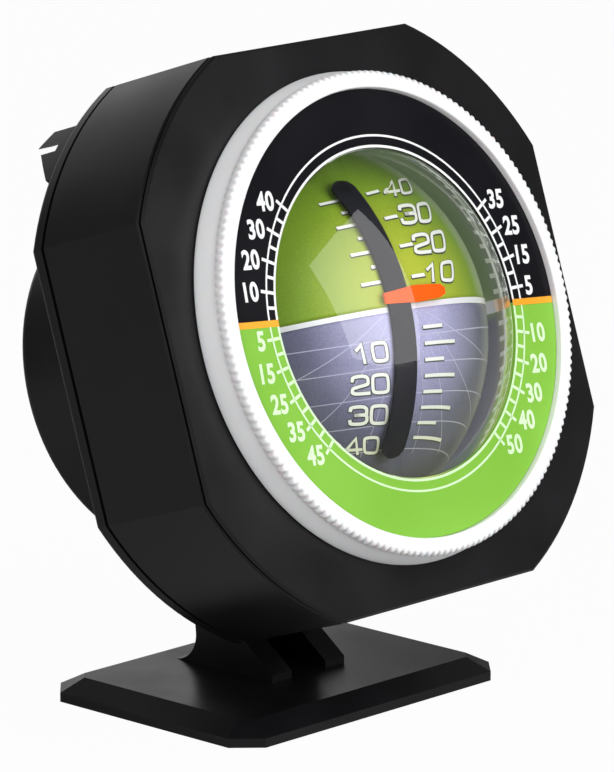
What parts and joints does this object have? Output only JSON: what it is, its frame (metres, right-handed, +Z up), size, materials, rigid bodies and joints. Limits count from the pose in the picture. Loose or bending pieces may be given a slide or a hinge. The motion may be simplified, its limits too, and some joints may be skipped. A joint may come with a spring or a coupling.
{
  "type": "inclinometer",
  "caption": "Dashboard inclinometer: liquid-filled pitch ball and roll scale in a tilting black case on a small stick-on stand.",
  "frame": {"origin": "centre of the adhesive pad's lower face", "axes": "+Z up, the dial faces -Y, +X to the reader's right"},
  "size_m": [0.078, 0.0655, 0.0932],
  "materials": {
    "black_case": "fine satin texture",
    "foam_tape": "matt foam tape",
    "plated_steel": "zinc plated",
    "nylon": "natural",
    "black_screw": "black oxide",
    "socket_black": "moulded",
    "brass": "turned",
    "board_green": "solder resist",
    "lamp_white": "moulded",
    "chip_black": "moulded",
    "wire_red": "extruded",
    "spring_steel": "bright",
    "bezel_white": "translucent white, satin",
    "inner_black": "moulded",
    "scale_print": "printed black and lime",
    "clear_window": "clear, polished",
    "seal_rubber": "moulded",
    "cup_grey": "translucent grey",
    "arc_black": "matt black",
    "marker_orange": "bright orange",
    "ball_green": "printed",
    "ball_violet": "printed, slightly metallic",
    "band_white": "moulded"
  },
  "bodies": {
    "base": {"base_stand": "black_case", "adhesive_pad": "foam_tape", "pivot_bolt": "plated_steel", "pivot_nut": "plated_steel", "friction_washers": "nylon"},
    "head": {"main_case": "black_case", "front_cover": "black_case", "rear_cover": "black_case", "drum_housing": "black_case", "cover_screws": "black_screw", "power_socket": "socket_black", "socket_nut": "plated_steel", "socket_contacts": "brass", "circuit_board": "board_green", "led_lamps": "lamp_white", "resistors": "chip_black", "power_leads": "wire_red", "board_screws": "plated_steel", "wave_spring": "spring_steel"},
    "dial": {"bezel_ring": "bezel_white", "retaining_ring": "inner_black", "scale_ring": "scale_print", "clamp_ring": "inner_black", "clamp_screws": "plated_steel", "dome": "clear_window", "dome_seal": "seal_rubber", "capsule_cup": "cup_grey", "fill_plug": "cup_grey", "plug_seal": "seal_rubber", "expansion_bellows": "seal_rubber", "arc_bar": "arc_black", "arc_posts": "clear_window", "marker": "marker_orange", "roll_bush": "brass"},
    "yoke": {"roll_yoke": "spring_steel", "roll_shaft": "plated_steel", "pitch_pins": "plated_steel"},
    "ball": {"ball_upper": "ball_green", "ball_lower": "ball_violet", "horizon_band": "band_white", "ballast": "brass"}
  },
  "joints": [
    {"name": "head_tilt", "type": "hinge", "parent": "base", "child": "head", "pos_m": [0, 0.0032, 0.0135], "axis": [1, 0, 0], "range_deg": [-30, 20]},
    {"name": "dial_turn", "type": "hinge", "parent": "head", "child": "dial", "pos_m": [0, -0.023, 0.0575], "axis": [0, 0.9492, -0.3147], "range_deg": [-20.3, 9.7]},
    {"name": "ball_roll", "type": "hinge", "parent": "dial", "child": "yoke", "pos_m": [0, -0.00117, 0.05026], "axis": [0, 0.9492, -0.3147], "range_deg": [-60, 60]},
    {"name": "ball_pitch", "type": "hinge", "parent": "yoke", "child": "ball", "pos_m": [0, -0.00117, 0.05026], "axis": [0.9986, -0.0165, -0.0497], "range_deg": [-50, 50]}
  ]
}
